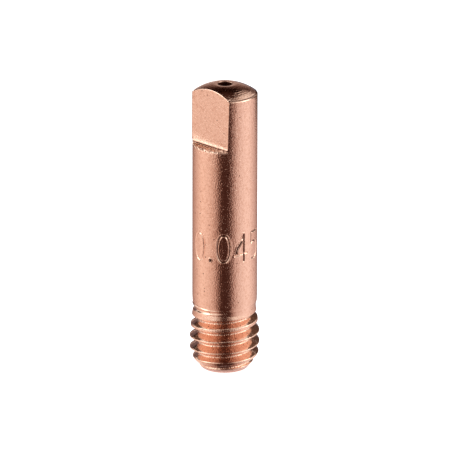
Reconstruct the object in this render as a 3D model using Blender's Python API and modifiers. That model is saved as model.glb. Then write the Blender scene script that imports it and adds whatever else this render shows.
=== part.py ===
"""A contact tip for a wire-feed welding torch, M6 x 1, 25 mm long.

The tip is one piece of copper, turned from bar. The wire comes in at the
threaded end and leaves through the crowned end. A single spanner flat is milled
beside the crown, and the thread is rolled with a fading runout at the shoulder.

Frame: metres, +Z up. The origin is the middle of the threaded end, on which the
tip stands. The spanner flat faces -Y.
"""

import math

import bmesh
import bpy

MM = 0.001

# Overall sizes
TIP_LENGTH = 25.0 * MM
BODY_DIAMETER = 5.46 * MM
TURNING_STEPS = 64

# Wire bore, from the crown down to the entry in the threaded end
BORE_DIAMETER = 1.20 * MM
MOUTH_EDGE_BREAK = 0.07 * MM
ENTRY_DIAMETER = 2.40 * MM
ENTRY_HALF_ANGLE = math.radians(30)

# Crown: part of a ball, with a small round at the rim
CROWN_RISE = 0.90 * MM
CROWN_STEPS = 10
RIM_ROUND = 0.20 * MM
RIM_STEPS = 4

# Spanner flat, its length measured from the top of the crown. It leans a
# little, so that it is deeper at the crown than at its foot.
FLAT_LENGTH = 5.14 * MM
FLAT_FROM_AXIS = 1.74 * MM
FLAT_LEAN = math.radians(1.2)
FLAT_FOOT_RADIUS = 0.06 * MM
CUTTER_MARGIN = 1.5 * MM

# Thread M6 x 1, right hand. A thread's depth is a share of its pitch, and its
# root is what the flanks and the crest leave of the pitch.
THREAD_PITCH = 1.00 * MM
THREAD_DIAMETER = 5.81 * MM
THREAD_DEPTH_PER_PITCH = 0.57
THREAD_HALF_ANGLE = math.radians(30)
THREAD_CREST_WIDTH = 0.06 * MM
THREAD_LENGTH = 6.08 * MM
THREAD_START_ANGLE = math.radians(138)
RUNOUT_TURNS = 1.25
THREAD_STEPS = 64

# Shoulder: the smooth body rolls in to a shallow neck, and below it the
# crests grow to their full height
SHOULDER_ROUND = 0.35 * MM
NECK_DEPTH = 0.08 * MM
NECK_FROM_SHOULDER = 0.66 * MM
NECK_TO_BODY_SIZE = 0.64 * MM
CREST_GROWTH_LENGTH = 1.67 * MM

# Threaded end: a small edge break, a chamfer, then a gentle lead to full thread
END_DIAMETER = 4.10 * MM
END_EDGE_BREAK = 0.10 * MM
CHAMFER_HEIGHT = 0.86 * MM
LEAD_HEIGHT = 0.61 * MM
LEAD_DROP = 0.24 * MM

COPPER_COLOUR = (0.72, 0.40, 0.27, 1.0)
SHARP_EDGE_ANGLE = math.radians(35)

body_radius = BODY_DIAMETER / 2
bore_radius = BORE_DIAMETER / 2
entry_radius = ENTRY_DIAMETER / 2
end_radius = END_DIAMETER / 2
crest_radius = THREAD_DIAMETER / 2
thread_depth = THREAD_DEPTH_PER_PITCH * THREAD_PITCH
flank_run = thread_depth * math.tan(THREAD_HALF_ANGLE)
root_width = THREAD_PITCH - THREAD_CREST_WIDTH - 2 * flank_run
flat_foot_height = TIP_LENGTH - FLAT_LENGTH


def clear_scene():
    """Remove every object, so that the model starts from nothing."""
    for item in list(bpy.data.objects):
        bpy.data.objects.remove(item, do_unlink=True)


def make_collection(name):
    collection = bpy.data.collections.new(name)
    bpy.context.scene.collection.children.link(collection)
    return collection


def add_object(name, mesh, collection):
    item = bpy.data.objects.new(name, mesh)
    collection.objects.link(item)
    return item


def add_cutter(name, mesh, collection):
    """A cutter shapes the tip and is not itself a piece."""
    cutter = add_object(name, mesh, collection)
    cutter.hide_render = True
    cutter.display_type = "WIRE"
    return cutter


def cut(item, cutter):
    boolean = item.modifiers.new(cutter.name, "BOOLEAN")
    boolean.operation = "DIFFERENCE"
    boolean.object = cutter


def arc(centre_radius, centre_height, size, start, end, steps):
    """Points along part of a circle. Angles are measured from straight up."""
    points = []
    for step in range(steps + 1):
        angle = start + (end - start) * step / steps
        points.append((centre_radius + size * math.sin(angle), centre_height + size * math.cos(angle)))
    return points


def crown_profile():
    """Points from the bore's mouth out over the crown and round its rim."""
    ball_radius = (body_radius ** 2 + CROWN_RISE ** 2) / (2 * CROWN_RISE)
    mouth_angle = math.asin((bore_radius + MOUTH_EDGE_BREAK) / ball_radius)
    ball_centre = TIP_LENGTH - ball_radius * math.cos(mouth_angle)
    rim_angle = math.asin((body_radius - RIM_ROUND) / (ball_radius - RIM_ROUND))
    rim_centre = ball_centre + (ball_radius - RIM_ROUND) * math.cos(rim_angle)
    ball = arc(0.0, ball_centre, ball_radius, mouth_angle, rim_angle, CROWN_STEPS)
    rim = arc(body_radius - RIM_ROUND, rim_centre, RIM_ROUND, rim_angle, math.pi / 2, RIM_STEPS)
    return ball + rim[1:]


def turned_profile():
    """Half section of the turned blank, as (radius, height), clockwise from the bore's mouth."""
    crown = crown_profile()
    neck_height = THREAD_LENGTH - NECK_FROM_SHOULDER
    growth_height = neck_height - NECK_TO_BODY_SIZE
    entry_depth = (entry_radius - bore_radius) / math.tan(ENTRY_HALF_ANGLE)
    outside = [
        (body_radius, THREAD_LENGTH + SHOULDER_ROUND),
        (body_radius - NECK_DEPTH / 4, THREAD_LENGTH),
        (body_radius - NECK_DEPTH, neck_height),
        (body_radius, growth_height),
        (crest_radius, growth_height - CREST_GROWTH_LENGTH),
        (crest_radius, CHAMFER_HEIGHT + LEAD_HEIGHT),
        (crest_radius - LEAD_DROP, CHAMFER_HEIGHT),
        (end_radius, END_EDGE_BREAK),
        (end_radius - END_EDGE_BREAK, 0.0),
    ]
    inside = [
        (entry_radius, 0.0),
        (bore_radius, entry_depth),
        (bore_radius, crown[0][1] - MOUTH_EDGE_BREAK),
    ]
    return crown + outside + inside


def turned_blank(collection):
    """The bar after turning and drilling, before the thread and the flat."""
    points = turned_profile()
    vertices = [(radius, 0.0, height) for radius, height in points]
    edges = [(index, (index + 1) % len(points)) for index in range(len(points))]
    mesh = bpy.data.meshes.new("contact_tip")
    mesh.from_pydata(vertices, edges, [])
    blank = add_object("contact_tip", mesh, collection)
    screw = blank.modifiers.new("turning", "SCREW")
    screw.axis = "Z"
    screw.angle = math.tau
    screw.steps = TURNING_STEPS
    screw.render_steps = TURNING_STEPS
    screw.use_merge_vertices = True
    screw.merge_threshold = 1e-6
    return blank


def flat_cutter(collection):
    """A block that leaves the spanner flat and the small ledge at its foot."""
    depth = body_radius - FLAT_FROM_AXIS + CUTTER_MARGIN
    height = FLAT_LENGTH + CUTTER_MARGIN
    builder = bmesh.new()
    bmesh.ops.create_cube(builder, size=1.0)
    bmesh.ops.scale(builder, vec=(BODY_DIAMETER + CUTTER_MARGIN, depth, height), verts=builder.verts)
    bmesh.ops.translate(builder, vec=(0.0, -depth / 2, height / 2), verts=builder.verts)
    foot_edges = []
    for edge in builder.edges:
        if all(abs(vertex.co.y) < 1e-7 and abs(vertex.co.z) < 1e-7 for vertex in edge.verts):
            foot_edges.append(edge)
    bmesh.ops.bevel(builder, geom=foot_edges, offset=FLAT_FOOT_RADIUS, segments=3, affect="EDGES", profile=0.5)
    mesh = bpy.data.meshes.new("flat_cutter")
    builder.to_mesh(mesh)
    builder.free()
    cutter = add_cutter("flat_cutter", mesh, collection)
    cutter.location = (0.0, -FLAT_FROM_AXIS, flat_foot_height)
    cutter.rotation_euler = (-FLAT_LEAN, 0.0, 0.0)
    return cutter


def groove_section(lift):
    """Outline of the thread groove at one place: radius and height from the groove's middle.

    The lift moves the whole outline away from the axis, where the groove fades.
    """
    root_radius = crest_radius - thread_depth + lift
    mouth_radius = crest_radius + lift
    root_half = root_width / 2
    mouth_half = root_half + flank_run
    return [
        (root_radius, -root_half),
        (mouth_radius, -mouth_half),
        (mouth_radius + CUTTER_MARGIN, -mouth_half),
        (mouth_radius + CUTTER_MARGIN, mouth_half),
        (mouth_radius, mouth_half),
        (root_radius, root_half),
    ]


def thread_cutter(collection):
    """The thread groove as a solid: its outline is carried up the helix, and fades at the top."""
    start_height = -THREAD_PITCH
    turns = (THREAD_LENGTH - start_height) / THREAD_PITCH
    steps = round(turns * THREAD_STEPS)
    runout_steps = RUNOUT_TURNS * THREAD_STEPS
    builder = bmesh.new()
    rings = []
    for step in range(steps + 1):
        fade = max(0.0, 1.0 - (steps - step) / runout_steps)
        angle = THREAD_START_ANGLE + math.tau * step / THREAD_STEPS
        middle = start_height + THREAD_PITCH * step / THREAD_STEPS
        ring = []
        for radius, height in groove_section(fade * thread_depth):
            place = (radius * math.cos(angle), radius * math.sin(angle), middle + height)
            ring.append(builder.verts.new(place))
        rings.append(ring)
    corners = len(rings[0])
    for lower, upper in zip(rings, rings[1:]):
        for corner in range(corners):
            following = (corner + 1) % corners
            builder.faces.new((lower[corner], lower[following], upper[following], upper[corner]))
    builder.faces.new(reversed(rings[0]))
    builder.faces.new(rings[-1])
    bmesh.ops.recalc_face_normals(builder, faces=builder.faces)
    mesh = bpy.data.meshes.new("thread_cutter")
    builder.to_mesh(mesh)
    builder.free()
    return add_cutter("thread_cutter", mesh, collection)


def copper_material():
    material = bpy.data.materials.new("bare_copper")
    material.use_nodes = True
    surface = material.node_tree.nodes["Principled BSDF"]
    surface.inputs["Base Color"].default_value = COPPER_COLOUR
    surface.inputs["Metallic"].default_value = 1.0
    surface.inputs["Roughness"].default_value = 0.35
    return material


def finish_surface(item):
    """Keep the cut shape as the tip's own mesh, smooth where it is turned and sharp at its edges."""
    evaluated = item.evaluated_get(bpy.context.evaluated_depsgraph_get())
    mesh = bpy.data.meshes.new_from_object(evaluated)
    item.modifiers.clear()
    item.data = mesh
    mesh.shade_smooth()
    mesh.set_sharp_from_angle(angle=SHARP_EDGE_ANGLE)
    mesh.materials.clear()
    mesh.materials.append(copper_material())


clear_scene()
tip_collection = make_collection("welding_contact_tip")
cutter_collection = make_collection("cutters")

contact_tip = turned_blank(tip_collection)
cut(contact_tip, flat_cutter(cutter_collection))
cut(contact_tip, thread_cutter(cutter_collection))
finish_surface(contact_tip)
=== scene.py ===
import math

import bmesh
import bpy
import numpy as np
from mathutils import Matrix, Vector, noise


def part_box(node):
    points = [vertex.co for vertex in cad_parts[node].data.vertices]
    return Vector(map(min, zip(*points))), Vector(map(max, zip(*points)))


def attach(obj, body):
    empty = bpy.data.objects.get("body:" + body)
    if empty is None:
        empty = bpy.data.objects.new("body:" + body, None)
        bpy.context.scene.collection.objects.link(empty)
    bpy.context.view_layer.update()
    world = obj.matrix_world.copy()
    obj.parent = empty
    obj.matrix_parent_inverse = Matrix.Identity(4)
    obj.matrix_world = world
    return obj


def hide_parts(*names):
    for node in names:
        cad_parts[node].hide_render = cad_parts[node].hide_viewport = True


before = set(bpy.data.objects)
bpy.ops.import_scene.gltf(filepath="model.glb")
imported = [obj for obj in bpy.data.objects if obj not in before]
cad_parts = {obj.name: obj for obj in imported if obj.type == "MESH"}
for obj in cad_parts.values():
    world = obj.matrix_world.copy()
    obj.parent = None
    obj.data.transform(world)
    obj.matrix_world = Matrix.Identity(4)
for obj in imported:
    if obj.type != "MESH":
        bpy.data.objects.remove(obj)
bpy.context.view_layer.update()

# The turned blank
# The tip starts as copper bar, held in a lathe: the body is turned, the nose is
# crowned like part of a ball with a small round at its rim, and the wire bore is
# drilled through, with a countersunk entry at the threaded end.
MM = 0.001
tip_low, tip_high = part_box("contact_tip")
tip_length = tip_high.z
body_radius = 2.73 * MM
bore_radius = 0.60 * MM
mouth_edge = 0.05 * MM
entry_radius = 1.20 * MM
entry_height = 1.04 * MM
end_radius = 2.05 * MM
end_edge = 0.10 * MM
crown_rise = 0.90 * MM
rim_round = 0.12 * MM
crest_radius = (tip_high.x - tip_low.x) / 2

ball_radius = (body_radius ** 2 + crown_rise ** 2) / (2 * crown_rise)
mouth_angle = math.asin((bore_radius + mouth_edge) / ball_radius)
ball_middle = tip_length - ball_radius * math.cos(mouth_angle)
rim_angle = math.asin((body_radius - rim_round) / (ball_radius - rim_round))
rim_middle = ball_middle + (ball_radius - rim_round) * math.cos(rim_angle)
crown_edge_radius = ball_radius * math.sin(rim_angle)
crown_edge_height = ball_middle + ball_radius * math.cos(rim_angle)
MOUTH_DISH = 0.045 * MM
MOUTH_DISH_WIDTH = 0.14 * MM
CROWN_GRAIN = 0.7
CROWN_MATT = -0.03
# The crown's rim is painted with a dark line, standing in for a dark reflection.
RIM_PAINTED_DARK_LINE = 0.8
# The bore is painted dark, as painted shade inside the hole.
BORE_PAINTED_SHADE = 1.0
BORE_MATT = 0.4

# Height and radius of the outside below the crown: chamfer, lead, full thread,
# crests that shrink to the neck, and the shoulder that rolls out to the body.
OUTSIDE_HEIGHTS = np.array([0.10, 0.86, 1.47, 3.11, 4.78, 5.26, 5.42, 5.76, 5.88, 6.43]) * MM
OUTSIDE_RADII = np.array([2.05, 2.665, 2.905, 2.905, 2.73, 2.635, 2.625, 2.65, 2.71, 2.73]) * MM
TURNING_SOFTNESS = 0.04 * MM

# A burr that the turning left round the shoulder, highest at one side.
SHOULDER_BURR = 0.085 * MM
SHOULDER_BURR_PLACE = 5.64 * MM
SHOULDER_BURR_WIDTH = 0.055 * MM
SHOULDER_GRAIN = 0.3
NECK_LOW = 4.85 * MM
NECK_HIGH = 5.95 * MM
SHOULDER_BURR_DIRECTION = math.radians(-110)


def turned_radius(height):
    """Radius of the blank at a height, with its corners rounded a little."""
    shifts = np.linspace(-TURNING_SOFTNESS, TURNING_SOFTNESS, 9)
    return sum(np.interp(height + shift, OUTSIDE_HEIGHTS, OUTSIDE_RADII) for shift in shifts) / len(shifts)


def ball_height(radius):
    """Height of the crown at a distance from the axis."""
    return ball_middle + np.sqrt(ball_radius ** 2 - radius ** 2)


# The thread
# An M6 x 1 right-hand thread is cut below the shoulder. Its groove fades out over
# the last turn and a quarter, its crests are a little rounded, and the cutter stood
# a few degrees askew, so the flanks that look up slope more than those that look down.
PITCH = 1.00 * MM
THREAD_DEPTH = 0.65 * MM
CREST_WIDTH = 0.12 * MM
CREST_GROWTH = 0.03 * MM
UPPER_FLANK_SLOPE = math.tan(math.radians(32))
LOWER_FLANK_SLOPE = math.tan(math.radians(26))
ENTRY_EXTRA_DEPTH = 0.10 * MM
ENTRY_EXTRA_TOP = 1.0 * MM
ENTRY_EXTRA_FADE = 0.6 * MM
ROOT_GRAIN = 1.7
FLANK_GRAIN = 0.2
GRAIN_CHANGE = 0.05 * MM
THREAD_START = math.radians(138)
THREAD_END = 6.08 * MM
RUNOUT_TURNS = 1.25
CREST_SOFTNESS = 0.03 * MM
ROOT_SOFTNESS = 0.015 * MM
groove_half = (PITCH - CREST_WIDTH) / 2
root_bottom = -groove_half + THREAD_DEPTH * UPPER_FLANK_SLOPE
root_top = groove_half - THREAD_DEPTH * LOWER_FLANK_SLOPE
last_turn = THREAD_END / PITCH + 1.0


def soft_minimum(first, second, softness):
    """The lower of two surfaces, with the corner between them rounded."""
    share = np.clip(0.5 + 0.5 * (second - first) / softness, 0.0, 1.0)
    return second + (first - second) * share - softness * share * (1.0 - share)


def thread_groove(angle, height):
    """Radius of the cut groove, and how far above its middle the place lies."""
    turns = (angle - THREAD_START) / math.tau
    radius = np.full(np.shape(height), 2 * crest_radius)
    offset = np.full(np.shape(height), PITCH)
    for whole in range(-1, 10):
        turn = turns + whole
        middle = PITCH * (turn - 1.0)
        fade = np.clip(1.0 - (last_turn - turn) / RUNOUT_TURNS, 0.0, 1.0)
        above_root = (height - middle) - root_top
        below_root = root_bottom - (height - middle)
        upper = (below_root + np.sqrt(below_root ** 2 + ROOT_SOFTNESS ** 2)) / 2 / UPPER_FLANK_SLOPE
        lower = (above_root + np.sqrt(above_root ** 2 + ROOT_SOFTNESS ** 2)) / 2 / LOWER_FLANK_SLOPE
        extra = ENTRY_EXTRA_DEPTH * np.clip((ENTRY_EXTRA_TOP - middle) / ENTRY_EXTRA_FADE, 0.0, 1.0)
        root = crest_radius - THREAD_DEPTH * (1.0 - fade) - extra
        root = root + np.where(turn > last_turn, crest_radius, 0.0)
        groove = root + upper + lower
        nearer = groove < radius
        radius = soft_minimum(radius, groove, CREST_SOFTNESS)
        offset = np.where(nearer, height - middle, offset)
    return radius, offset


def threaded_radius(angle, height):
    """Radius of the threaded part, and the grain there: torn roots and smooth flanks."""
    radius = turned_radius(height)
    crest_share = np.clip((radius - body_radius) / (crest_radius - body_radius), 0.0, 1.0)
    radius = radius + CREST_GROWTH * crest_share
    burr = np.exp(-(((height - SHOULDER_BURR_PLACE) / SHOULDER_BURR_WIDTH) ** 2))
    burr = burr * (0.5 + 0.5 * np.cos(angle - SHOULDER_BURR_DIRECTION))
    radius = radius + SHOULDER_BURR * burr
    groove, offset = thread_groove(angle, height)
    cut = np.clip((radius - groove) / GRAIN_CHANGE, 0.0, 1.0)
    cut_grain = np.where(offset > root_bottom - GRAIN_CHANGE, ROOT_GRAIN, FLANK_GRAIN)
    grain = 1.0 + (cut_grain - 1.0) * cut
    grain = np.where((height > NECK_LOW) & (height < NECK_HIGH), np.minimum(grain, SHOULDER_GRAIN), grain)
    return soft_minimum(radius, groove, CREST_SOFTNESS), grain


# The spanner flat
# One flat is milled beside the crown, a little deeper at the top than at its
# foot, where the cutter leaves a narrow ledge. One of its edges keeps a fine burr.
FLAT_DIRECTION = math.radians(-90)
FLAT_FOOT = tip_length - 5.14 * MM
FLAT_FROM_AXIS = 1.74 * MM
FLAT_LEAN = math.tan(math.radians(1.2))
FLAT_FOOT_ROUND = 0.20 * MM
LEDGE_START = 0.06 * MM
LEDGE_DROP = 0.04 * MM
LUMP_HEIGHT = 0.21 * MM
LUMP_SIZE = 0.18 * MM
FLAT_GRAIN = 1.15
FLAT_MATT = 0.09
# The whole flat is painted a little darker, as painted shade.
FLAT_PAINTED_SHADE = 0.11
LEDGE_GRAIN = 2.0
LEDGE_MATT = 0.32

# Above the ledge the cutter ran out, so the flat turns outward there, in a wedge
# that is taller at its left.
RUN_OUT_SLOPE = math.tan(math.radians(9))
RUN_OUT_LEFT = 0.75 * MM
RUN_OUT_RIGHT = 0.12 * MM
FLAT_EDGE = 0.03 * MM
BURR_HEIGHT = 0.055 * MM
WARP_END = math.radians(80)


def flat_distance(height):
    """Distance of the flat from the axis, less towards the crown."""
    return FLAT_FROM_AXIS - (height - FLAT_FOOT) * FLAT_LEAN


flat_half_angle = math.acos(FLAT_FROM_AXIS / body_radius)
flat_half_width = math.sqrt(body_radius ** 2 - FLAT_FROM_AXIS ** 2)


def run_out(side, height):
    """How far the flat's foot stands out at an angle from its middle and a height."""
    along = FLAT_FROM_AXIS * np.tan(np.clip(side, -flat_half_angle, flat_half_angle)) / flat_half_width
    top = RUN_OUT_LEFT + (RUN_OUT_RIGHT - RUN_OUT_LEFT) * (0.5 + 0.5 * along)
    return RUN_OUT_SLOPE * np.maximum(top - (height - FLAT_FOOT), 0.0)


def move_columns(side, edge_angle):
    """Shift the angles beside the flat so that two columns run along its edges."""
    size = np.abs(side)
    inside = size * edge_angle / flat_half_angle
    beside = edge_angle + (size - flat_half_angle) * (WARP_END - edge_angle) / (WARP_END - flat_half_angle)
    moved = np.where(size <= flat_half_angle, inside, np.where(size < WARP_END, beside, size))
    return np.sign(side) * moved


# The stamped figures
# A wire size is stamped round the body in narrow plain figures: a V groove with
# the copper raised along both sides, a little deeper in some figures than others.
FIGURE_HEIGHT = 2.36 * MM
FIGURE_WIDTH = 1.08 * MM
FIGURE_FOOT = 10.08 * MM
STROKE_HALF = 0.10 * MM
STROKE_DEPTH = 0.080 * MM
LIP_HEIGHT = 0.022 * MM
LIP_WIDTH = 0.055 * MM
# Half width of the shade painted along each stroke.
STROKE_SHADE_HALF = 0.055 * MM
FIGURES_REACH = 0.26 * MM


def ring_strokes():
    """A narrow nought, as the corner points of one closed stroke."""
    points = []
    for step in range(25):
        turn = math.tau * step / 24
        across = math.copysign(abs(math.cos(turn)) ** 0.85, math.cos(turn))
        points.append((0.5 + 0.5 * across, 0.5 + 0.5 * math.sin(turn)))
    return [points]


def four_strokes():
    upright = [(0.74, 0.0), (0.74, 1.0), (0.62, 0.84)]
    slant = [(0.55, 0.72), (0.22, 0.50), (0.13, 0.36), (0.16, 0.30)]
    bar = [(0.0, 0.22), (0.45, 0.27), (1.05, 0.29)]
    return [upright, slant, bar]


def five_strokes():
    belly = []
    for step in range(11):
        turn = math.radians(125 - 235 * step / 10)
        belly.append((0.42 + 0.55 * math.cos(turn), 0.33 + 0.33 * math.sin(turn)))
    return [[(0.95, 1.0), (0.14, 1.0), (0.10, 0.60)] + belly]


def dot_strokes():
    return [[(0.48, 0.03), (0.48, 0.07)]]


# Direction of each figure's middle, how deep it was struck, how much painted shade
# darkens it, and its strokes.
STAMPED = [
    (math.radians(-94.5), 0.65, 0.0, ring_strokes()),
    (math.radians(-70.5), 1.6, 1.0, dot_strokes()),
    (math.radians(-46.5), 1.0, 0.75, ring_strokes()),
    (math.radians(-14.5), 0.8, 0.85, four_strokes()[:1]),
    (math.radians(-14.5), 1.2, 1.0, four_strokes()[1:2]),
    (math.radians(-14.5), 0.8, 0.0, four_strokes()[2:]),
    (math.radians(17.5), 0.8, 0.7, five_strokes()),
]


def stroke_distance(middle, strokes, angle, height):
    """Distance along the surface to the nearest stroke of one figure."""
    nearest = np.full(np.shape(height), 1.0)
    across = body_radius * ((angle - middle + math.pi) % math.tau - math.pi)
    up = height - FIGURE_FOOT
    for points in strokes:
        sized = [((x - 0.5) * FIGURE_WIDTH, y * FIGURE_HEIGHT) for x, y in points]
        for (x0, y0), (x1, y1) in zip(sized, sized[1:]):
            run = (x1 - x0) ** 2 + (y1 - y0) ** 2
            share = np.clip(((across - x0) * (x1 - x0) + (up - y0) * (y1 - y0)) / run, 0.0, 1.0)
            gap = np.hypot(across - x0 - share * (x1 - x0), up - y0 - share * (y1 - y0))
            nearest = np.minimum(nearest, gap)
    return nearest


def stamp_relief(angle, height):
    """Height that the stamping adds, a V along each stroke with raised lips, and the shade painted into
    it.
    """
    relief = np.zeros(np.shape(height))
    painted_shade = np.zeros(np.shape(height))
    beside = np.zeros(np.shape(height), dtype=bool)
    for middle, struck, painted_darkness, strokes in STAMPED:
        distance = stroke_distance(middle, strokes, angle, height)
        groove = -STROKE_DEPTH * np.clip(1.0 - distance / STROKE_HALF, 0.0, 1.0)
        lip = LIP_HEIGHT * np.exp(-(((distance - STROKE_HALF - LIP_WIDTH / 2) / LIP_WIDTH) ** 2) * 2)
        pressed = struck * (groove + lip)
        relief = np.where(np.abs(pressed) > np.abs(relief), pressed, relief)
        # Shade is painted along each stroke, standing in for the shade in its groove.
        painted_shade = np.maximum(painted_shade, painted_darkness * np.clip(1.5 - distance / (struck * STROKE_SHADE_HALF), 0.0, 1.0))
        beside = beside | (distance < FIGURES_REACH)
    return relief, painted_shade, beside


# The surface
# The whole tip is one closed skin, laid out in rows that follow its features: from
# the bore's mouth over the crown, down the flat and the body, along the thread's
# helix, round the end and back up through the bore.
FLAT_COLUMNS = 72
ROUND_COLUMNS = 184
EDGE_COLUMN_GAP = math.radians(0.45)
SEAM = math.radians(135)
THREAD_ROWS = np.array([
    0.0, 0.05, 0.10, 0.13, 0.155, 0.19, 0.24, 0.29, 0.34, 0.39, 0.43, 0.46, 0.485,
    0.515, 0.54, 0.57, 0.61, 0.66, 0.71, 0.76, 0.81, 0.845, 0.87, 0.90, 0.95,
])
BAND_TOP = 6.60 * MM
FIGURES_LOW = 9.72 * MM
FIGURES_HIGH = 12.80 * MM
FIGURE_ROW = 0.062 * MM
MERGE_DISTANCE = 2e-7
ANGLE_SLACK = 1e-6
SLANT_LIMIT = 1.2
OUTSIDE_SHARE = 0.9


def column_sides():
    """Angles round the tip, from the flat's middle, with columns close beside the flat's edges."""
    flat_side = list(np.linspace(-flat_half_angle, flat_half_angle, FLAT_COLUMNS + 1))
    round_side = list(np.linspace(flat_half_angle, math.tau - flat_half_angle, ROUND_COLUMNS + 1))[1:-1]
    shifts = (-EDGE_COLUMN_GAP, EDGE_COLUMN_GAP)
    close = [sign * flat_half_angle + shift for sign in (-1, 1) for shift in shifts]
    seam_side = (SEAM - FLAT_DIRECTION) % math.tau - math.tau
    sides = [(side - seam_side) % math.tau + seam_side for side in flat_side + round_side + close]
    sides.sort()
    return np.array(sides + [sides[0] + math.tau])


sides = column_sides()
wrapped_sides = (sides + math.pi) % math.tau - math.pi
skin_rows = []


def add_row(radius, angle_side, height, grain=1.0, matt=0.0, rings=0.0, painted_shade=0.0):
    """One row of the skin: radius, angle from the flat's middle and height for each column.

    Grain is the share of sandy grain there, matt what is added to the roughness, rings
    the share of turning marks, and the last value how dark the painted shade makes it.
    """
    angle = angle_side + FLAT_DIRECTION
    values = [radius * np.cos(angle), radius * np.sin(angle), height, grain, matt, rings, painted_shade]
    skin_rows.append(np.stack([np.broadcast_to(value, np.shape(sides)) for value in values], axis=-1))


def flat_limit_on_crown(side):
    """Where the flat meets the crown: its radius for each column, or beyond the crown's edge."""
    radius = np.full(np.shape(side), FLAT_FROM_AXIS)
    for _ in range(6):
        height = ball_height(np.minimum(radius, crown_edge_radius))
        radius = flat_distance(height) / np.maximum(np.cos(side), 0.05)
    return radius


def add_crown():
    corner_angle = math.acos(flat_distance(crown_edge_height) / crown_edge_radius)
    rim_shares = [0.955, 0.98]
    shares = [0.0, 0.015] + list(np.linspace(0.035, 0.93, 25)) + rim_shares + [1.0]
    for share in shares:
        # The two rows next to the rim are painted dark, as a painted dark reflection.
        rim_painted_dark_line = RIM_PAINTED_DARK_LINE if share in rim_shares else 0.0
        edge_angle = flat_half_angle + share * (corner_angle - flat_half_angle)
        side = move_columns(wrapped_sides, edge_angle)
        limit = np.minimum(flat_limit_on_crown(side), crown_edge_radius)
        in_flat = np.abs(wrapped_sides) < flat_half_angle - ANGLE_SLACK
        outer = limit - np.where(in_flat, FLAT_EDGE, 0.0)
        inner = bore_radius + mouth_edge
        radius = inner + (outer - inner) * share
        painted_shade = np.where(in_flat, 0.0, rim_painted_dark_line)
        dish = MOUTH_DISH * np.exp(-(((radius - inner) / MOUTH_DISH_WIDTH) ** 2))
        add_row(radius, side, ball_height(radius) - dish, CROWN_GRAIN, CROWN_MATT, 1.0, painted_shade)


def add_upper_side():
    """The crown's rim, the turned side beside the flat and the flat itself, down to the ledge."""
    rim_rows = []
    for share in np.linspace(0.0, 1.0, 8)[1:]:
        turn = rim_angle + (math.pi / 2 - rim_angle) * share
        rim_radius = body_radius - rim_round + rim_round * math.sin(turn)
        rim_rows.append((rim_radius, rim_middle + rim_round * math.cos(turn)))
    side_heights = np.linspace(rim_middle, FLAT_FOOT + FLAT_FOOT_ROUND, 22)[1:]
    rows = rim_rows + [(body_radius, height) for height in side_heights]
    for radius, height in rows:
        edge_angle = math.acos(flat_distance(height) / radius)
        side = move_columns(wrapped_sides, edge_angle)
        in_flat = np.abs(wrapped_sides) <= flat_half_angle + ANGLE_SLACK
        arch = ball_height(np.minimum(flat_limit_on_crown(side), crown_edge_radius)) - FLAT_EDGE
        arch = np.where(np.abs(wrapped_sides) < flat_half_angle - ANGLE_SLACK, arch, crown_edge_height)
        down = (crown_edge_height - height) / (crown_edge_height - FLAT_FOOT - FLAT_FOOT_ROUND)
        flat_height = arch + (FLAT_FOOT + FLAT_FOOT_ROUND - arch) * down
        distance = flat_distance(flat_height) + run_out(side, flat_height)
        flat_radius = distance / np.cos(np.minimum(np.abs(side), SLANT_LIMIT))
        row_height = np.where(in_flat, flat_height, height)
        row_radius = np.where(in_flat, np.minimum(flat_radius, radius), radius)
        burr = np.exp(-(((wrapped_sides + flat_half_angle) / EDGE_COLUMN_GAP) ** 2))
        row_radius = row_radius + BURR_HEIGHT * burr
        flat_share = np.where(in_flat, 1.0, 0.0)
        grain = 1.0 + (FLAT_GRAIN - 1.0) * flat_share
        # The flat is painted a little darker, as shade.
        add_row(row_radius, side, row_height, grain, FLAT_MATT * flat_share, painted_shade=FLAT_PAINTED_SHADE * flat_share)


def lumps(radius, side, height):
    """How far the torn copper of the ledge stands up at each column of a row."""
    rises = []
    for size, turn in zip(radius, side):
        place = Vector((size * math.cos(turn), size * math.sin(turn), height))
        rises.append(LUMP_HEIGHT * noise.noise(place / LUMP_SIZE))
    return np.array(rises)


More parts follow.
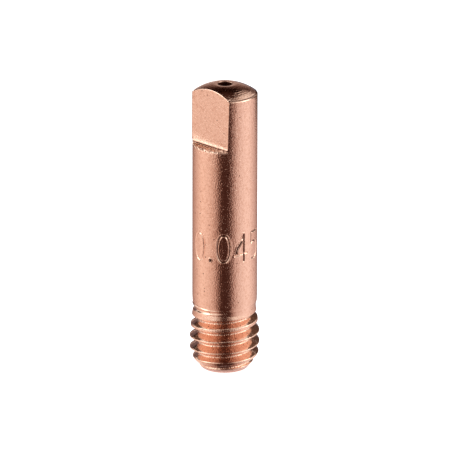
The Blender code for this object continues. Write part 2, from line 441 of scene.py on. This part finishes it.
def add_ledge():
    """The round at the flat's foot, a dark line of painted shade along its crease and the torn ledge that
    the cutter leaves.
    """
    in_flat = np.abs(wrapped_sides) <= flat_half_angle + ANGLE_SLACK
    slant = np.cos(np.minimum(np.abs(wrapped_sides), SLANT_LIMIT))
    # How far out and how high each row of the foot's round lies, and the shade painted on it.
    profile = [
        (0.010 * MM, 0.160 * MM, 0.0),
        (0.035 * MM, 0.110 * MM, 0.0),
        (0.050 * MM, 0.085 * MM, 0.9),
        (LEDGE_START, 0.010 * MM, 0.9),
    ]
    for out, rise, painted_shade in profile:
        distance = FLAT_FROM_AXIS + out + run_out(wrapped_sides, FLAT_FOOT + rise)
        radius = np.where(in_flat, np.minimum(distance / slant, body_radius), body_radius)
        add_row(radius, wrapped_sides, FLAT_FOOT + rise, matt=LEDGE_MATT * in_flat, painted_shade=painted_shade * in_flat)
    grain = 1.0 + (LEDGE_GRAIN - 1.0) * in_flat
    for share in (0.06, 0.22, 0.4, 0.58, 0.76, 0.9):
        outer = radius + (body_radius - FLAT_EDGE - radius) * share
        outer = np.where(in_flat, np.minimum(outer, body_radius), body_radius)
        level = FLAT_FOOT - LEDGE_DROP * share
        lump = lumps(outer, wrapped_sides, level) * np.clip((body_radius - radius) / LUMP_SIZE, 0.0, 1.0)
        add_row(outer, wrapped_sides, level + lump * in_flat, grain, LEDGE_MATT * in_flat)
    outer = np.where(in_flat, body_radius - FLAT_EDGE / 2, body_radius)
    level = FLAT_FOOT - LEDGE_DROP - FLAT_EDGE / 2
    lump = lumps(outer, wrapped_sides, level) * np.clip((body_radius - radius) / LUMP_SIZE, 0.0, 1.0)
    add_row(outer, wrapped_sides, level + lump * in_flat, grain, LEDGE_MATT * in_flat)
    add_row(body_radius, wrapped_sides, FLAT_FOOT - LEDGE_DROP - LUMP_HEIGHT)


def add_body():
    above = np.linspace(FLAT_FOOT - LEDGE_DROP - 2 * LUMP_HEIGHT, FIGURES_HIGH, 14)
    figure_rows = round((FIGURES_HIGH - FIGURES_LOW) / FIGURE_ROW)
    figures = np.linspace(FIGURES_HIGH, FIGURES_LOW, figure_rows + 1)[1:]
    below = np.linspace(FIGURES_LOW, BAND_TOP, 12)[1:]
    for height in list(above) + list(figures) + list(below):
        add_row(turned_radius(height), wrapped_sides, height)


def add_thread():
    """Rows along the helix, cut off level at both ends of the thread."""
    angle = sides + FLAT_DIRECTION
    climb = PITCH * (angle - THREAD_START) / math.tau
    lowest = end_edge
    turns_up = int(BAND_TOP / PITCH) + 3
    heights = [PITCH * (turn + share) for turn in range(turns_up, -3, -1) for share in THREAD_ROWS[::-1]]
    for base in heights:
        height = np.clip(base + climb, lowest, BAND_TOP)
        if np.all(height >= BAND_TOP) or np.all(height <= lowest):
            continue
        radius, grain = threaded_radius(angle, height)
        add_row(radius, sides, height, grain)
    radius, grain = threaded_radius(angle, np.full(np.shape(sides), lowest))
    add_row(radius, sides, lowest, grain)


def add_end_and_bore():
    angle = sides + FLAT_DIRECTION
    end = threaded_radius(angle, np.full(np.shape(sides), end_edge))[0] - end_edge
    mouth_height = ball_height(bore_radius + mouth_edge) - MOUTH_DISH
    add_row(end + 0.03 * MM, sides, 0.025 * MM)
    add_row(end, sides, 0.0)
    add_row(entry_radius, sides, 0.0)
    # The bore's rows are painted dark: painted shade in the hole.
    add_row(bore_radius, sides, entry_height, matt=BORE_MATT, painted_shade=BORE_PAINTED_SHADE)
    for depth in (4, 2, 1):
        add_row(bore_radius, sides, mouth_height - depth * mouth_edge, matt=BORE_MATT, painted_shade=BORE_PAINTED_SHADE)
    add_row(bore_radius + 0.3 * mouth_edge, sides, mouth_height - 0.3 * mouth_edge)


add_crown()
add_upper_side()
add_ledge()
add_body()
add_thread()
add_end_and_bore()


def skin_relief(builder):
    """Stamped relief and painted shade at each point of the skin, and which points are close to a stroke.
    """
    places = np.array([vertex.co for vertex in builder.verts])
    relief, painted_shade, beside = stamp_relief(np.arctan2(places[:, 1], places[:, 0]), places[:, 2])
    outside = np.hypot(places[:, 0], places[:, 1]) > OUTSIDE_SHARE * body_radius
    struck = outside & (places[:, 2] > FIGURES_LOW) & (places[:, 2] < FIGURES_HIGH)
    return np.where(struck, relief, 0.0), np.where(struck, painted_shade, 0.0), beside & struck


def build_skin():
    """Join the rows into one closed mesh, refine it beside the figures and press them in."""
    grid = np.array(skin_rows)
    rows, columns = grid.shape[:2]
    points = grid.reshape(-1, 7)
    faces = []
    for row in range(rows):
        following = (row + 1) % rows
        for column in range(columns - 1):
            lower = following * columns + column
            upper = row * columns + column
            faces.append((upper, lower, lower + 1, upper + 1))
    mesh = bpy.data.meshes.new("contact_tip_skin")
    mesh.from_pydata(points[:, :3].tolist(), [], faces)
    for place, name in ((3, "grain"), (4, "matt"), (5, "rings"), (6, "painted_shade")):
        attribute = mesh.attributes.new(name, "FLOAT", "POINT")
        attribute.data.foreach_set("value", points[:, place].tolist())
    builder = bmesh.new()
    builder.from_mesh(mesh)
    bmesh.ops.remove_doubles(builder, verts=builder.verts, dist=MERGE_DISTANCE)
    bmesh.ops.dissolve_degenerate(builder, edges=builder.edges, dist=MERGE_DISTANCE)
    builder.verts.index_update()
    beside = skin_relief(builder)[2]
    edges = [edge for edge in builder.edges if all(beside[vertex.index] for vertex in edge.verts)]
    bmesh.ops.subdivide_edges(builder, edges=edges, cuts=1, use_grid_fill=True)
    relief, painted_shade = skin_relief(builder)[:2]
    # The shade painted along the strokes is stored on each point.
    painted_shade_layer = builder.verts.layers.float["painted_shade"]
    for vertex, rise, painted_darkness in zip(builder.verts, relief.tolist(), painted_shade.tolist()):
        if rise != 0.0:
            angle = math.atan2(vertex.co.y, vertex.co.x)
            vertex.co.x = (body_radius + rise) * math.cos(angle)
            vertex.co.y = (body_radius + rise) * math.sin(angle)
            vertex[painted_shade_layer] = painted_darkness
    bmesh.ops.recalc_face_normals(builder, faces=builder.faces)
    builder.to_mesh(mesh)
    builder.free()
    mesh.shade_smooth()
    return mesh


contact_tip = bpy.data.objects.new("contact_tip_skin", build_skin())
bpy.context.scene.collection.objects.link(contact_tip)


# The copper
# Bare copper, satin from turning and fine blasting, without lacquer or plating. The
# milled flat is more matt, and the thread is rough where the cutter tore it.
COPPER = (0.95, 0.63, 0.475, 1.0)
ROUGHNESS = 0.14
SAND_SCALE = 8500.0
SAND_HEIGHT = 0.021 * MM
SPECK_SCALE = 8000.0
SPECK_RARITY = 2.5
SPECK_REACH = 0.45
SPECK_HEIGHT = 0.05 * MM
TARNISH = (0.74, 0.42, 0.29, 1.0)
TARNISH_SCALE = 4500.0
# Colour of the painted shade, also used for the few small dark pits.
PAINTED_SHADE_AND_PITS = (0.09, 0.022, 0.012, 1.0)
PIT_SCALE = 2300.0
PIT_SIZE = 0.11
PIT_RARITY = 0.45
RING_SCALE = 7000.0
RING_UNEVENNESS = 0.15 * MM
RING_HEIGHT = 0.015 * MM


def copper_material():
    material = bpy.data.materials.new("bare_copper")
    material.use_nodes = True
    nodes = material.node_tree.nodes
    links = material.node_tree.links
    surface = nodes["Principled BSDF"]
    surface.inputs["Metallic"].default_value = 1.0
    place = nodes.new("ShaderNodeTexCoord")

    def calculate(operation, first, second):
        node = nodes.new("ShaderNodeMath")
        node.operation = operation
        for socket, value in zip(node.inputs, (first, second)):
            if isinstance(value, float):
                socket.default_value = value
            else:
                links.new(value, socket)
        return node.outputs[0]

    def read(name):
        node = nodes.new("ShaderNodeAttribute")
        node.attribute_name = name
        return node.outputs["Fac"]

    links.new(calculate("ADD", read("matt"), ROUGHNESS), surface.inputs["Roughness"])

    # Thin cloudy tarnish, a few small dark pits, and painted shade in the strokes, the bore, the ledge's
    # crease, along the rim and on the flat.
    clouds = nodes.new("ShaderNodeTexNoise")
    clouds.inputs["Scale"].default_value = TARNISH_SCALE
    clouds.inputs["Detail"].default_value = 3.0
    clouds.inputs["Roughness"].default_value = 0.6
    links.new(place.outputs["Object"], clouds.inputs["Vector"])
    cloud_share = nodes.new("ShaderNodeMapRange")
    cloud_share.inputs["From Min"].default_value = 0.45
    cloud_share.inputs["From Max"].default_value = 0.80
    links.new(clouds.outputs["Fac"], cloud_share.inputs["Value"])
    tarnished = nodes.new("ShaderNodeMix")
    tarnished.data_type = "RGBA"
    tarnished.inputs["A"].default_value = COPPER
    tarnished.inputs["B"].default_value = TARNISH
    links.new(cloud_share.outputs["Result"], tarnished.inputs["Factor"])
    pits = nodes.new("ShaderNodeTexVoronoi")
    pits.inputs["Scale"].default_value = PIT_SCALE
    links.new(place.outputs["Object"], pits.inputs["Vector"])
    pit_chance = nodes.new("ShaderNodeSeparateColor")
    links.new(pits.outputs["Color"], pit_chance.inputs[0])
    pit_near = calculate("LESS_THAN", pits.outputs["Distance"], PIT_SIZE)
    pit_chosen = calculate("GREATER_THAN", pit_chance.outputs[0], PIT_RARITY)
    pit_here = calculate("MULTIPLY", pit_near, pit_chosen)
    shade_and_pits_mix = nodes.new("ShaderNodeMix")
    shade_and_pits_mix.data_type = "RGBA"
    shade_and_pits_mix.inputs["B"].default_value = PAINTED_SHADE_AND_PITS
    links.new(tarnished.outputs["Result"], shade_and_pits_mix.inputs["A"])
    links.new(calculate("MAXIMUM", read("painted_shade"), pit_here), shade_and_pits_mix.inputs["Factor"])
    links.new(shade_and_pits_mix.outputs["Result"], surface.inputs["Base Color"])

    # Fine sandy grain all over, and single specks that stand up or are pressed in.
    sand = nodes.new("ShaderNodeTexNoise")
    sand.inputs["Scale"].default_value = SAND_SCALE
    sand.inputs["Detail"].default_value = 1.0
    links.new(place.outputs["Object"], sand.inputs["Vector"])
    sand_height = calculate("MULTIPLY", calculate("SUBTRACT", sand.outputs["Fac"], 0.5), SAND_HEIGHT)
    specks = nodes.new("ShaderNodeTexVoronoi")
    specks.inputs["Scale"].default_value = SPECK_SCALE
    links.new(place.outputs["Object"], specks.inputs["Vector"])
    chance = nodes.new("ShaderNodeSeparateColor")
    links.new(specks.outputs["Color"], chance.inputs[0])
    speck_size = calculate("POWER", chance.outputs[0], SPECK_RARITY)
    speck_sign = calculate("SUBTRACT", calculate("GREATER_THAN", chance.outputs[1], 0.5), 0.5)
    speck = calculate("MAXIMUM", calculate("SUBTRACT", SPECK_REACH, specks.outputs["Distance"]), 0.0)
    speck_height = calculate("MULTIPLY", calculate("MULTIPLY", speck, speck_size), speck_sign)
    speck_height = calculate("MULTIPLY", speck_height, SPECK_HEIGHT)
    sand_height = calculate("MULTIPLY", calculate("ADD", sand_height, speck_height), read("grain"))

    # Turning marks are rings, so their pattern runs with the distance from the axis.
    split = nodes.new("ShaderNodeSeparateXYZ")
    links.new(place.outputs["Object"], split.inputs[0])
    level_place = nodes.new("ShaderNodeCombineXYZ")
    links.new(split.outputs["X"], level_place.inputs["X"])
    links.new(split.outputs["Y"], level_place.inputs["Y"])
    distance = nodes.new("ShaderNodeVectorMath")
    distance.operation = "LENGTH"
    links.new(level_place.outputs[0], distance.inputs[0])
    direction = nodes.new("ShaderNodeVectorMath")
    direction.operation = "NORMALIZE"
    links.new(level_place.outputs[0], direction.inputs[0])
    ring_place = nodes.new("ShaderNodeVectorMath")
    ring_place.operation = "MULTIPLY_ADD"
    ring_place.inputs[1].default_value = (RING_UNEVENNESS, RING_UNEVENNESS, RING_UNEVENNESS)
    links.new(direction.outputs[0], ring_place.inputs[0])
    ring_shift = nodes.new("ShaderNodeCombineXYZ")
    links.new(distance.outputs["Value"], ring_shift.inputs["Z"])
    links.new(ring_shift.outputs[0], ring_place.inputs[2])
    marks = nodes.new("ShaderNodeTexNoise")
    marks.inputs["Scale"].default_value = RING_SCALE
    marks.inputs["Detail"].default_value = 1.0
    links.new(ring_place.outputs[0], marks.inputs["Vector"])
    ring_height = calculate("MULTIPLY", marks.outputs["Fac"], read("rings"))
    ring_height = calculate("MULTIPLY", ring_height, RING_HEIGHT)

    bump = nodes.new("ShaderNodeBump")
    bump.inputs["Strength"].default_value = 1.0
    bump.inputs["Distance"].default_value = 1.0
    links.new(calculate("ADD", sand_height, ring_height), bump.inputs["Height"])
    links.new(bump.outputs["Normal"], surface.inputs["Normal"])
    return material


contact_tip.data.materials.append(copper_material())
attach(contact_tip, "root")
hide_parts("contact_tip")


# The camera
# A long lens from a little above, turned so that the flat is at the left front.
CAMERA_AZIMUTH = math.radians(45.5)
CAMERA_ELEVATION = math.radians(19.29)
CAMERA_ROLL = math.radians(0.11)
CAMERA_DISTANCE = 700 * MM
CAMERA_FIELD = 2 * math.atan(225 / 8358)
AIM_HEIGHT = 12.48 * MM
AIM_ACROSS = 0.017 * MM

across = Vector((math.cos(CAMERA_AZIMUTH), math.sin(CAMERA_AZIMUTH), 0.0))
front = Vector((math.sin(CAMERA_AZIMUTH), -math.cos(CAMERA_AZIMUTH), 0.0))
back = front * math.cos(CAMERA_ELEVATION) + Vector((0.0, 0.0, math.sin(CAMERA_ELEVATION)))
aim = across * AIM_ACROSS + Vector((0.0, 0.0, AIM_HEIGHT))
camera_data = bpy.data.cameras.new("camera")
camera_data.lens_unit = "FOV"
camera_data.angle = CAMERA_FIELD
camera = bpy.data.objects.new("camera", camera_data)
turn = Matrix((across, back.cross(across), back)).transposed() @ Matrix.Rotation(CAMERA_ROLL, 3, "Z")
camera.matrix_world = Matrix.Translation(aim + back * CAMERA_DISTANCE) @ turn.to_4x4()
bpy.context.scene.collection.objects.link(camera)
bpy.context.scene.camera = camera


# The floor
# The tip stands on a plain white floor, which also fills the background. Only the
# tip's soft shadow falls on it.
FLOOR_SIZE = 2.0
FLOOR_GLOW = 0.80


def floor_material():
    material = bpy.data.materials.new("white_floor")
    material.use_nodes = True
    nodes = material.node_tree.nodes
    links = material.node_tree.links
    surface = nodes["Principled BSDF"]
    surface.inputs["Base Color"].default_value = (0.8, 0.8, 0.8, 1.0)
    surface.inputs["Roughness"].default_value = 0.9
    surface.inputs["Specular IOR Level"].default_value = 0.0
    path = nodes.new("ShaderNodeLightPath")
    seen = nodes.new("ShaderNodeMath")
    seen.operation = "MAXIMUM"
    links.new(path.outputs["Is Camera Ray"], seen.inputs[0])
    links.new(path.outputs["Is Glossy Ray"], seen.inputs[1])
    seen_through = nodes.new("ShaderNodeMath")
    seen_through.operation = "MAXIMUM"
    links.new(seen.outputs[0], seen_through.inputs[0])
    links.new(path.outputs["Is Transmission Ray"], seen_through.inputs[1])
    glow = nodes.new("ShaderNodeMath")
    glow.operation = "MULTIPLY"
    glow.inputs[1].default_value = FLOOR_GLOW
    links.new(seen_through.outputs[0], glow.inputs[0])
    surface.inputs["Emission Color"].default_value = (1.0, 1.0, 1.0, 1.0)
    links.new(glow.outputs[0], surface.inputs["Emission Strength"])
    return material


def add_floor():
    builder = bmesh.new()
    bmesh.ops.create_circle(builder, cap_ends=True, radius=FLOOR_SIZE, segments=64)
    mesh = bpy.data.meshes.new("floor")
    builder.to_mesh(mesh)
    builder.free()
    mesh.materials.append(floor_material())
    floor = bpy.data.objects.new("floor", mesh)
    bpy.context.scene.collection.objects.link(floor)


add_floor()


# The reflector cards: painted reflections
# Bare metal shows what stands round it, so glowing cards with painted tones stand round
# it, hidden from the camera and lighting and shading nothing, seen only in the copper's
# reflections: a graduated one under the tip, a dark arched one behind and over it, a narrow
# dark one in front, and small dark flags at the back, on both sides and close by.
CARD_LIFT = 0.01 * MM
CARD_SIZE = 260 * MM
WIDENING_START = 50 * MM
WIDENING_END = 70 * MM
NEAR_WIDENING = 1.5
FAR_WIDENING = 8.0
DARK_HALF_ANGLE = 15.0
LIGHTENING_ANGLE = 24.0
FADING_START = 88.0
FADING_ANGLE = 100.0
BACK_GAP_START = 168.0
BACK_GAP_END = 178.0
DARKEST = 0.054
LEFT_TINT = np.array([1.06, 0.89, 0.84])
RIGHT_TINT = np.array([1.10, 1.0, 1.02])
UNDER_TIP_TONE = np.array([0.80, 0.68, 0.74])
# A card reads browner as it gets darker, because its tone is raised to these powers.
BROWNING = np.array([1.0, 1.27, 1.35])

# The arched card glows behind the tip, is a little paler overhead and pale at the
# right; elevations are degrees and widths are shares of its radius.
ARCH_RADIUS = 250 * MM
ARCH_DARKEST = 0.005
GLOW = 0.48
GLOW_HEIGHT = 33
GLOW_WIDTH = 0.38
GLOW_NARROWING = 0.007
GLOW_NARROWED_AT = 20.0
OVERHEAD = 0.06
OVERHEAD_START = 55
OVERHEAD_SPAN = 20
RIGHT_TONE = 0.92
RIGHT_START = 0.40
RIGHT_SPAN = 0.18
RIGHT_LEAN = 0.0028
RIGHT_LEAN_START = 22
FRONT_DARKEST = 0.06
FRONT_DARK_HALF = 0.12
FRONT_RISE = 1.6

# Distances and tones of the flags.
FAR = 65 * MM
NEAR = 30 * MM
FLAG_TONE = (0.09, 0.055, 0.045)
LEFT_FLAG_TONE = (0.16, 0.12, 0.13)
EDGE_FLAG_TONE = (0.20, 0.20, 0.25)
NEAR_FLAG_TONE = (0.12, 0.07, 0.05)


def around(angle_from_camera):
    """Direction round the tip in the world, from degrees to the right of the camera."""
    return math.radians(angle_from_camera) + CAMERA_AZIMUTH - math.pi / 2


def card_tone(angle, widened):
    """Tone of the graduated card, against the degrees to the right of the camera.

    Its dark middle is widened at the right by a few degrees.
    """
    size = abs(angle)
    dark_end = DARK_HALF_ANGLE + (widened if angle > 0 else 0.0)
    rise = 1.0 - math.exp(-max(size - dark_end, 0.0) / LIGHTENING_ANGLE)
    fall = min(max(1.0 - (size - FADING_START) / FADING_ANGLE, 0.12), 1.0)
    gap = min(max((size - BACK_GAP_START) / (BACK_GAP_END - BACK_GAP_START), 0.0), 1.0)
    tone = max(rise * fall, DARKEST)
    tone = tone + (0.8 - tone) * gap
    tint = LEFT_TINT + (RIGHT_TINT - LEFT_TINT) * min(max((angle + 40) / 80, 0.0), 1.0)
    return tone ** BROWNING * tint


def painted_reflection_material():
    """Cards glow with their painted tone, though they are no lamps: painted reflections."""
    material = bpy.data.materials.new("card")
    material.use_nodes = True
    nodes = material.node_tree.nodes
    surface = nodes["Principled BSDF"]
    surface.inputs["Base Color"].default_value = (0.0, 0.0, 0.0, 1.0)
    surface.inputs["Specular IOR Level"].default_value = 0.0
    surface.inputs["Emission Strength"].default_value = 1.0
    reader = nodes.new("ShaderNodeAttribute")
    reader.attribute_name = "tone"
    material.node_tree.links.new(reader.outputs["Color"], surface.inputs["Emission Color"])
    return material


painted_reflection_cards = painted_reflection_material()


def add_card(name, points, faces, tones):
    mesh = bpy.data.meshes.new(name)
    mesh.from_pydata(points, [], faces)
    tone = mesh.attributes.new("tone", "FLOAT_COLOR", "POINT")
    tone.data.foreach_set("color", [value for colour in tones for value in (*colour, 1.0)])
    mesh.materials.append(painted_reflection_cards)
    card = bpy.data.objects.new(name, mesh)
    card.visible_camera = False
    card.visible_diffuse = False
    card.visible_shadow = False
    bpy.context.scene.collection.objects.link(card)


def add_graduated_card():
    steps = 360
    # Radius, the shares of the tone under the tip and of the graduated tone, and
    # how far the dark middle is widened.
    # Inside the bore's entry the card is black: painted shade at the bore's closed lower end.
    rings = [
        (0.0, 0.0, 0.0, 0.0),
        (entry_radius, 0.0, 0.0, 0.0),
        (1.2 * entry_radius, 1.0, 0.0, 0.0),
        (end_radius, 1.0, 0.0, 0.0),
        (1.15 * end_radius, 0.0, 1.0, NEAR_WIDENING),
        (WIDENING_START, 0.0, 1.0, NEAR_WIDENING),
        (WIDENING_END, 0.0, 1.0, FAR_WIDENING),
        (CARD_SIZE, 0.0, 1.0, FAR_WIDENING),
    ]
    points = []
    tones = []
    for radius, under_share, share, widened in rings:
        for step in range(steps):
            angle = around(step - 180)
            points.append((radius * math.cos(angle), radius * math.sin(angle), CARD_LIFT))
            tones.append(UNDER_TIP_TONE * under_share + card_tone(step - 180, widened) * share)
    faces = []
    for ring in range(len(rings) - 1):
        for step in range(steps):
            following = (step + 1) % steps
            inner = ring * steps
            outer = inner + steps
            faces.append((inner + step, outer + step, outer + following, inner + following))
    add_card("graduated_card", points, faces, tones)


def add_standing_card(name, start, end, distance, low, high, tone):
    """A curved card that stands round the tip between two angles and two heights."""
    steps = 12
    points = []
    faces = []
    for step in range(steps + 1):
        angle = around(start + (end - start) * step / steps)
        for height in (low, high):
            points.append((distance * math.cos(angle), distance * math.sin(angle), height))
    for step in range(steps):
        faces.append((2 * step, 2 * step + 2, 2 * step + 3, 2 * step + 1))
    add_card(name, points, faces, [tone] * len(points))


def arch_tone(elevation, aside):
    """Tone of the arched card, from the degrees above the crown and the share to the right."""
    above = max(elevation, 0.0)
    width = GLOW_WIDTH - GLOW_NARROWING * min(above, GLOW_NARROWED_AT)
    glow = GLOW * math.exp(-(above / GLOW_HEIGHT) ** 4 - (aside / width) ** 2)
    overhead = OVERHEAD * max(0.0, elevation - OVERHEAD_START) / OVERHEAD_SPAN
    lean = RIGHT_LEAN * max(elevation - RIGHT_LEAN_START, 0.0)
    right = min(max((aside - RIGHT_START + lean) / RIGHT_SPAN, 0.0), 1.0)
    return max(ARCH_DARKEST + glow + overhead, RIGHT_TONE * right) ** BROWNING


def front_tone(elevation, aside):
    """Tone of the front card at any elevation, dark in the middle and white towards both sides."""
    return min(FRONT_DARKEST + FRONT_RISE * max(0.0, abs(aside) - FRONT_DARK_HALF), 1.0) ** BROWNING


def add_curved_card(name, side, asides, elevations, tone):
    """A card that rises in front of the tip (side 1) or behind it (side -1), and curves over it."""
    points = []
    tones = []
    faces = []
    middle = Vector((0.0, 0.0, tip_length))
    for elevation in elevations:
        outward = front * (side * math.cos(math.radians(elevation)))
        up = Vector((0.0, 0.0, math.sin(math.radians(elevation))))
        for aside in asides:
            points.append(middle + (outward + up + across * aside) * ARCH_RADIUS)
            tones.append(tone(elevation, aside))
    for row in range(len(elevations) - 1):
        for column in range(len(asides) - 1):
            lower = row * len(asides) + column
            upper = lower + len(asides)
            faces.append((lower, lower + 1, upper + 1, upper))
    add_card(name, points, faces, tones)


add_graduated_card()
add_standing_card("left_flag", -160, -130, FAR, 1 * MM, 26 * MM, LEFT_FLAG_TONE)
add_standing_card("right_flag", 130, 162, FAR, 1 * MM, 24 * MM, FLAG_TONE)
add_standing_card("right_edge_flag", 162, 177, FAR, 1 * MM, 24 * MM, EDGE_FLAG_TONE)
add_standing_card("right_tall_flag", 130, 166, FAR, 24 * MM, 36 * MM, FLAG_TONE)
add_curved_card("front_card", 1, np.linspace(-0.72, 0.72, 37), np.linspace(-5.5, 85, 31), front_tone)
add_standing_card("left_near_flag", -152, -108, NEAR, 17 * MM, 32 * MM, NEAR_FLAG_TONE)
add_standing_card("right_near_flag", 108, 152, NEAR, 18 * MM, 30 * MM, NEAR_FLAG_TONE)
add_standing_card("right_high_flag", 108, 134, NEAR, 30 * MM, 44 * MM, NEAR_FLAG_TONE)
add_curved_card("arched_card", -1, np.linspace(-0.6, 0.9, 31), np.linspace(-5, 87, 47), arch_tone)


# The light
# Two soft boxes stand at the sides of the tip, in a white room.
def add_lamp(name, azimuth, elevation, distance, size, power):
    lamp = bpy.data.lights.new(name, "AREA")
    lamp.shape = "SQUARE"
    lamp.size = size
    lamp.energy = power
    holder = bpy.data.objects.new(name, lamp)
    angle = around(azimuth)
    flat = math.cos(math.radians(elevation))
    toward = Vector((flat * math.cos(angle), flat * math.sin(angle), math.sin(math.radians(elevation))))
    holder.location = aim + toward * distance
    holder.rotation_euler = toward.to_track_quat("Z", "Y").to_euler()
    bpy.context.scene.collection.objects.link(holder)


add_lamp("left_softbox", -80, 25, 0.45, 0.25, 0.35)
add_lamp("right_softbox", 80, 25, 0.45, 0.25, 0.35)

world = bpy.data.worlds.new("studio")
world.use_nodes = True
bpy.context.scene.world = world
white_room = world.node_tree.nodes["Background"]
white_room.inputs["Color"].default_value = (1.0, 1.0, 1.0, 1.0)
white_room.inputs["Strength"].default_value = 1.0

bpy.context.scene.view_settings.view_transform = "Standard"
